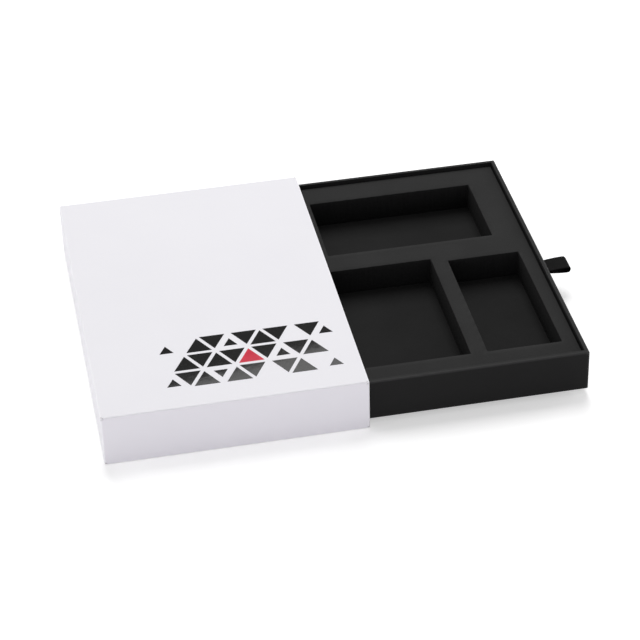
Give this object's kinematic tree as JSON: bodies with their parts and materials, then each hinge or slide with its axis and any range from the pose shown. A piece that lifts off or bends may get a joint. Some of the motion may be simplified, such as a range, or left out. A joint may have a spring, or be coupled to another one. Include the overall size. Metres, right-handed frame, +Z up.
{
  "type": "slide-out gift box",
  "caption": "Rigid paper-wrapped sleeve, closed at one end, with a slide-out tray holding a pocketed foam insert, hidden closing magnets and a ribbon pull.",
  "frame": {"origin": "centre of the sleeve's underside, on the surface that the box stands on", "axes": "+X is the way the tray is pulled out, towards the ribbon; +Y is the rear, behind the long pocket; +Z is up"},
  "size_m": [0.3005, 0.225, 0.033],
  "materials": {
    "greyboard": "matte",
    "white_paper": "matte",
    "black_paper": "matte",
    "kraft_tape": "matte",
    "nickel_plate": "polished",
    "black_foam": "matte",
    "black_satin": "satin"
  },
  "bodies": {
    "sleeve": {"sleeve_bottom_board": "greyboard", "sleeve_top_board": "greyboard", "sleeve_front_board": "greyboard", "sleeve_rear_board": "greyboard", "sleeve_end_board": "greyboard", "sleeve_wrap": "white_paper", "sleeve_liner": "white_paper", "sleeve_base_sheet": "white_paper", "sleeve_corner_tapes": "kraft_tape", "sleeve_magnets": "nickel_plate"},
    "tray": {"tray_base_board": "greyboard", "tray_front_board": "greyboard", "tray_rear_board": "greyboard", "tray_inner_end_board": "greyboard", "tray_pull_end_board": "greyboard", "tray_wrap": "black_paper", "tray_liner": "black_paper", "tray_base_sheet": "black_paper", "tray_corner_tapes": "kraft_tape", "tray_magnets": "nickel_plate", "foam_insert": "black_foam", "foam_base_pad": "black_foam", "ribbon_tails": "black_satin", "ribbon_patch": "black_paper"},
    "ribbon": {"ribbon_pull": "black_satin"}
  },
  "joints": [
    {"name": "drawer_slide", "type": "slide", "parent": "sleeve", "child": "tray", "axis": [1, 0, 0], "range_m": [-0.13, 0.02]},
    {"name": "ribbon_swing", "type": "hinge", "parent": "tray", "child": "ribbon", "pos_m": [0.20625, 0, 0.01645], "axis": [0, -1, 0], "range_deg": [-45, 45], "stiffness_Nm_per_rad": 0.0005}
  ]
}
